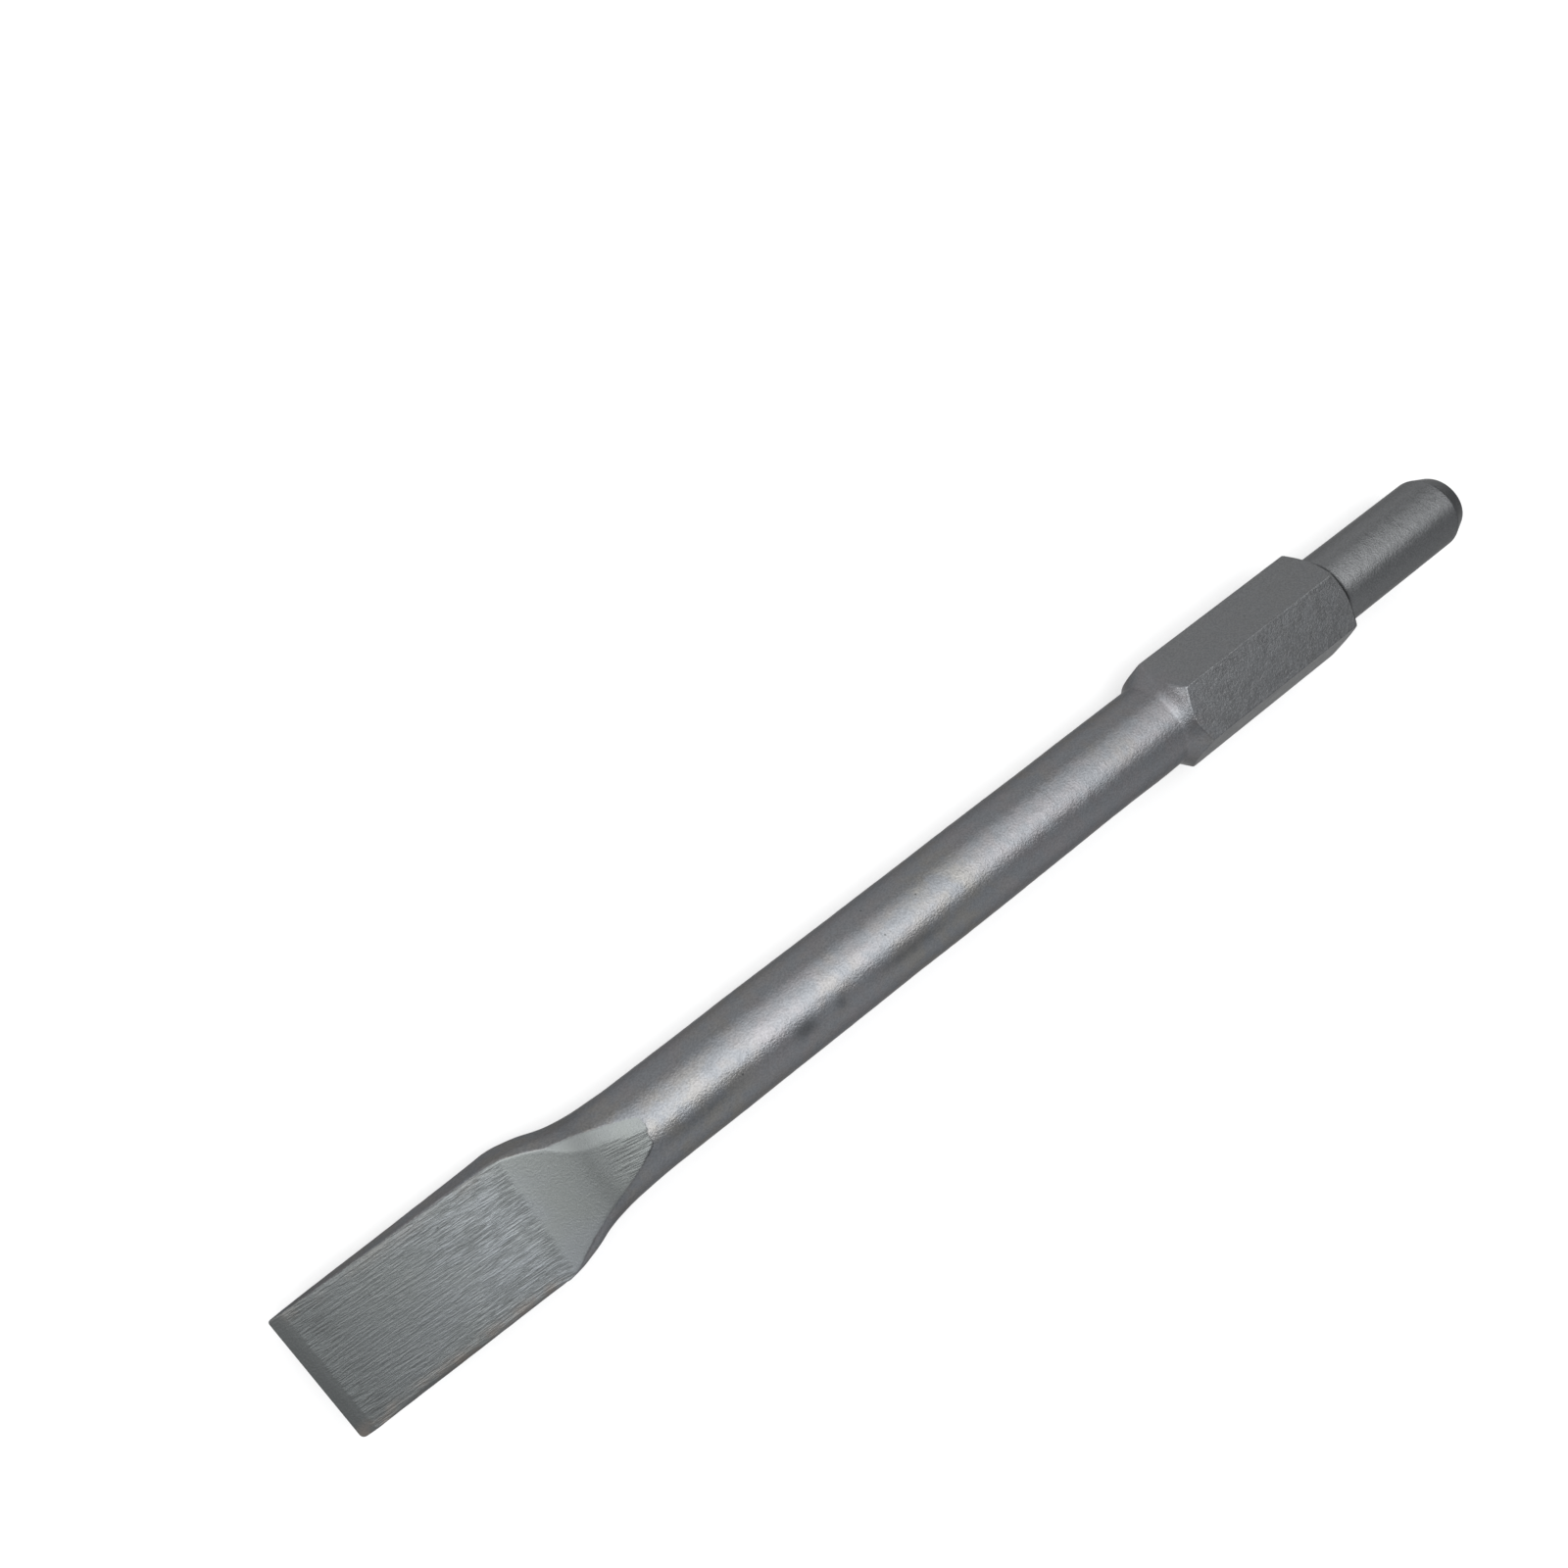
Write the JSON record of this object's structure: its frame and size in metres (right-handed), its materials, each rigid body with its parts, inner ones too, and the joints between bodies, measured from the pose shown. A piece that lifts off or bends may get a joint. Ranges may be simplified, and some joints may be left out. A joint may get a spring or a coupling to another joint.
{
  "type": "hex shank flat chisel",
  "caption": "Flat demolition chisel with a hex collar and a round striking pin, forged out to a wide flat blade.",
  "frame": {"origin": "middle of the struck end face", "axes": "+X along the axis from the struck end to the cutting edge, +Z square to the blade's flat face and to one flat of the hex collar"},
  "size_m": [0.4, 0.0356, 0.03],
  "materials": {
    "blasted_steel": "sand-blasted and phosphated grey, with finely ground blade faces"
  },
  "bodies": {
    "root": {"flat_chisel": "blasted_steel"}
  },
  "joints": []
}
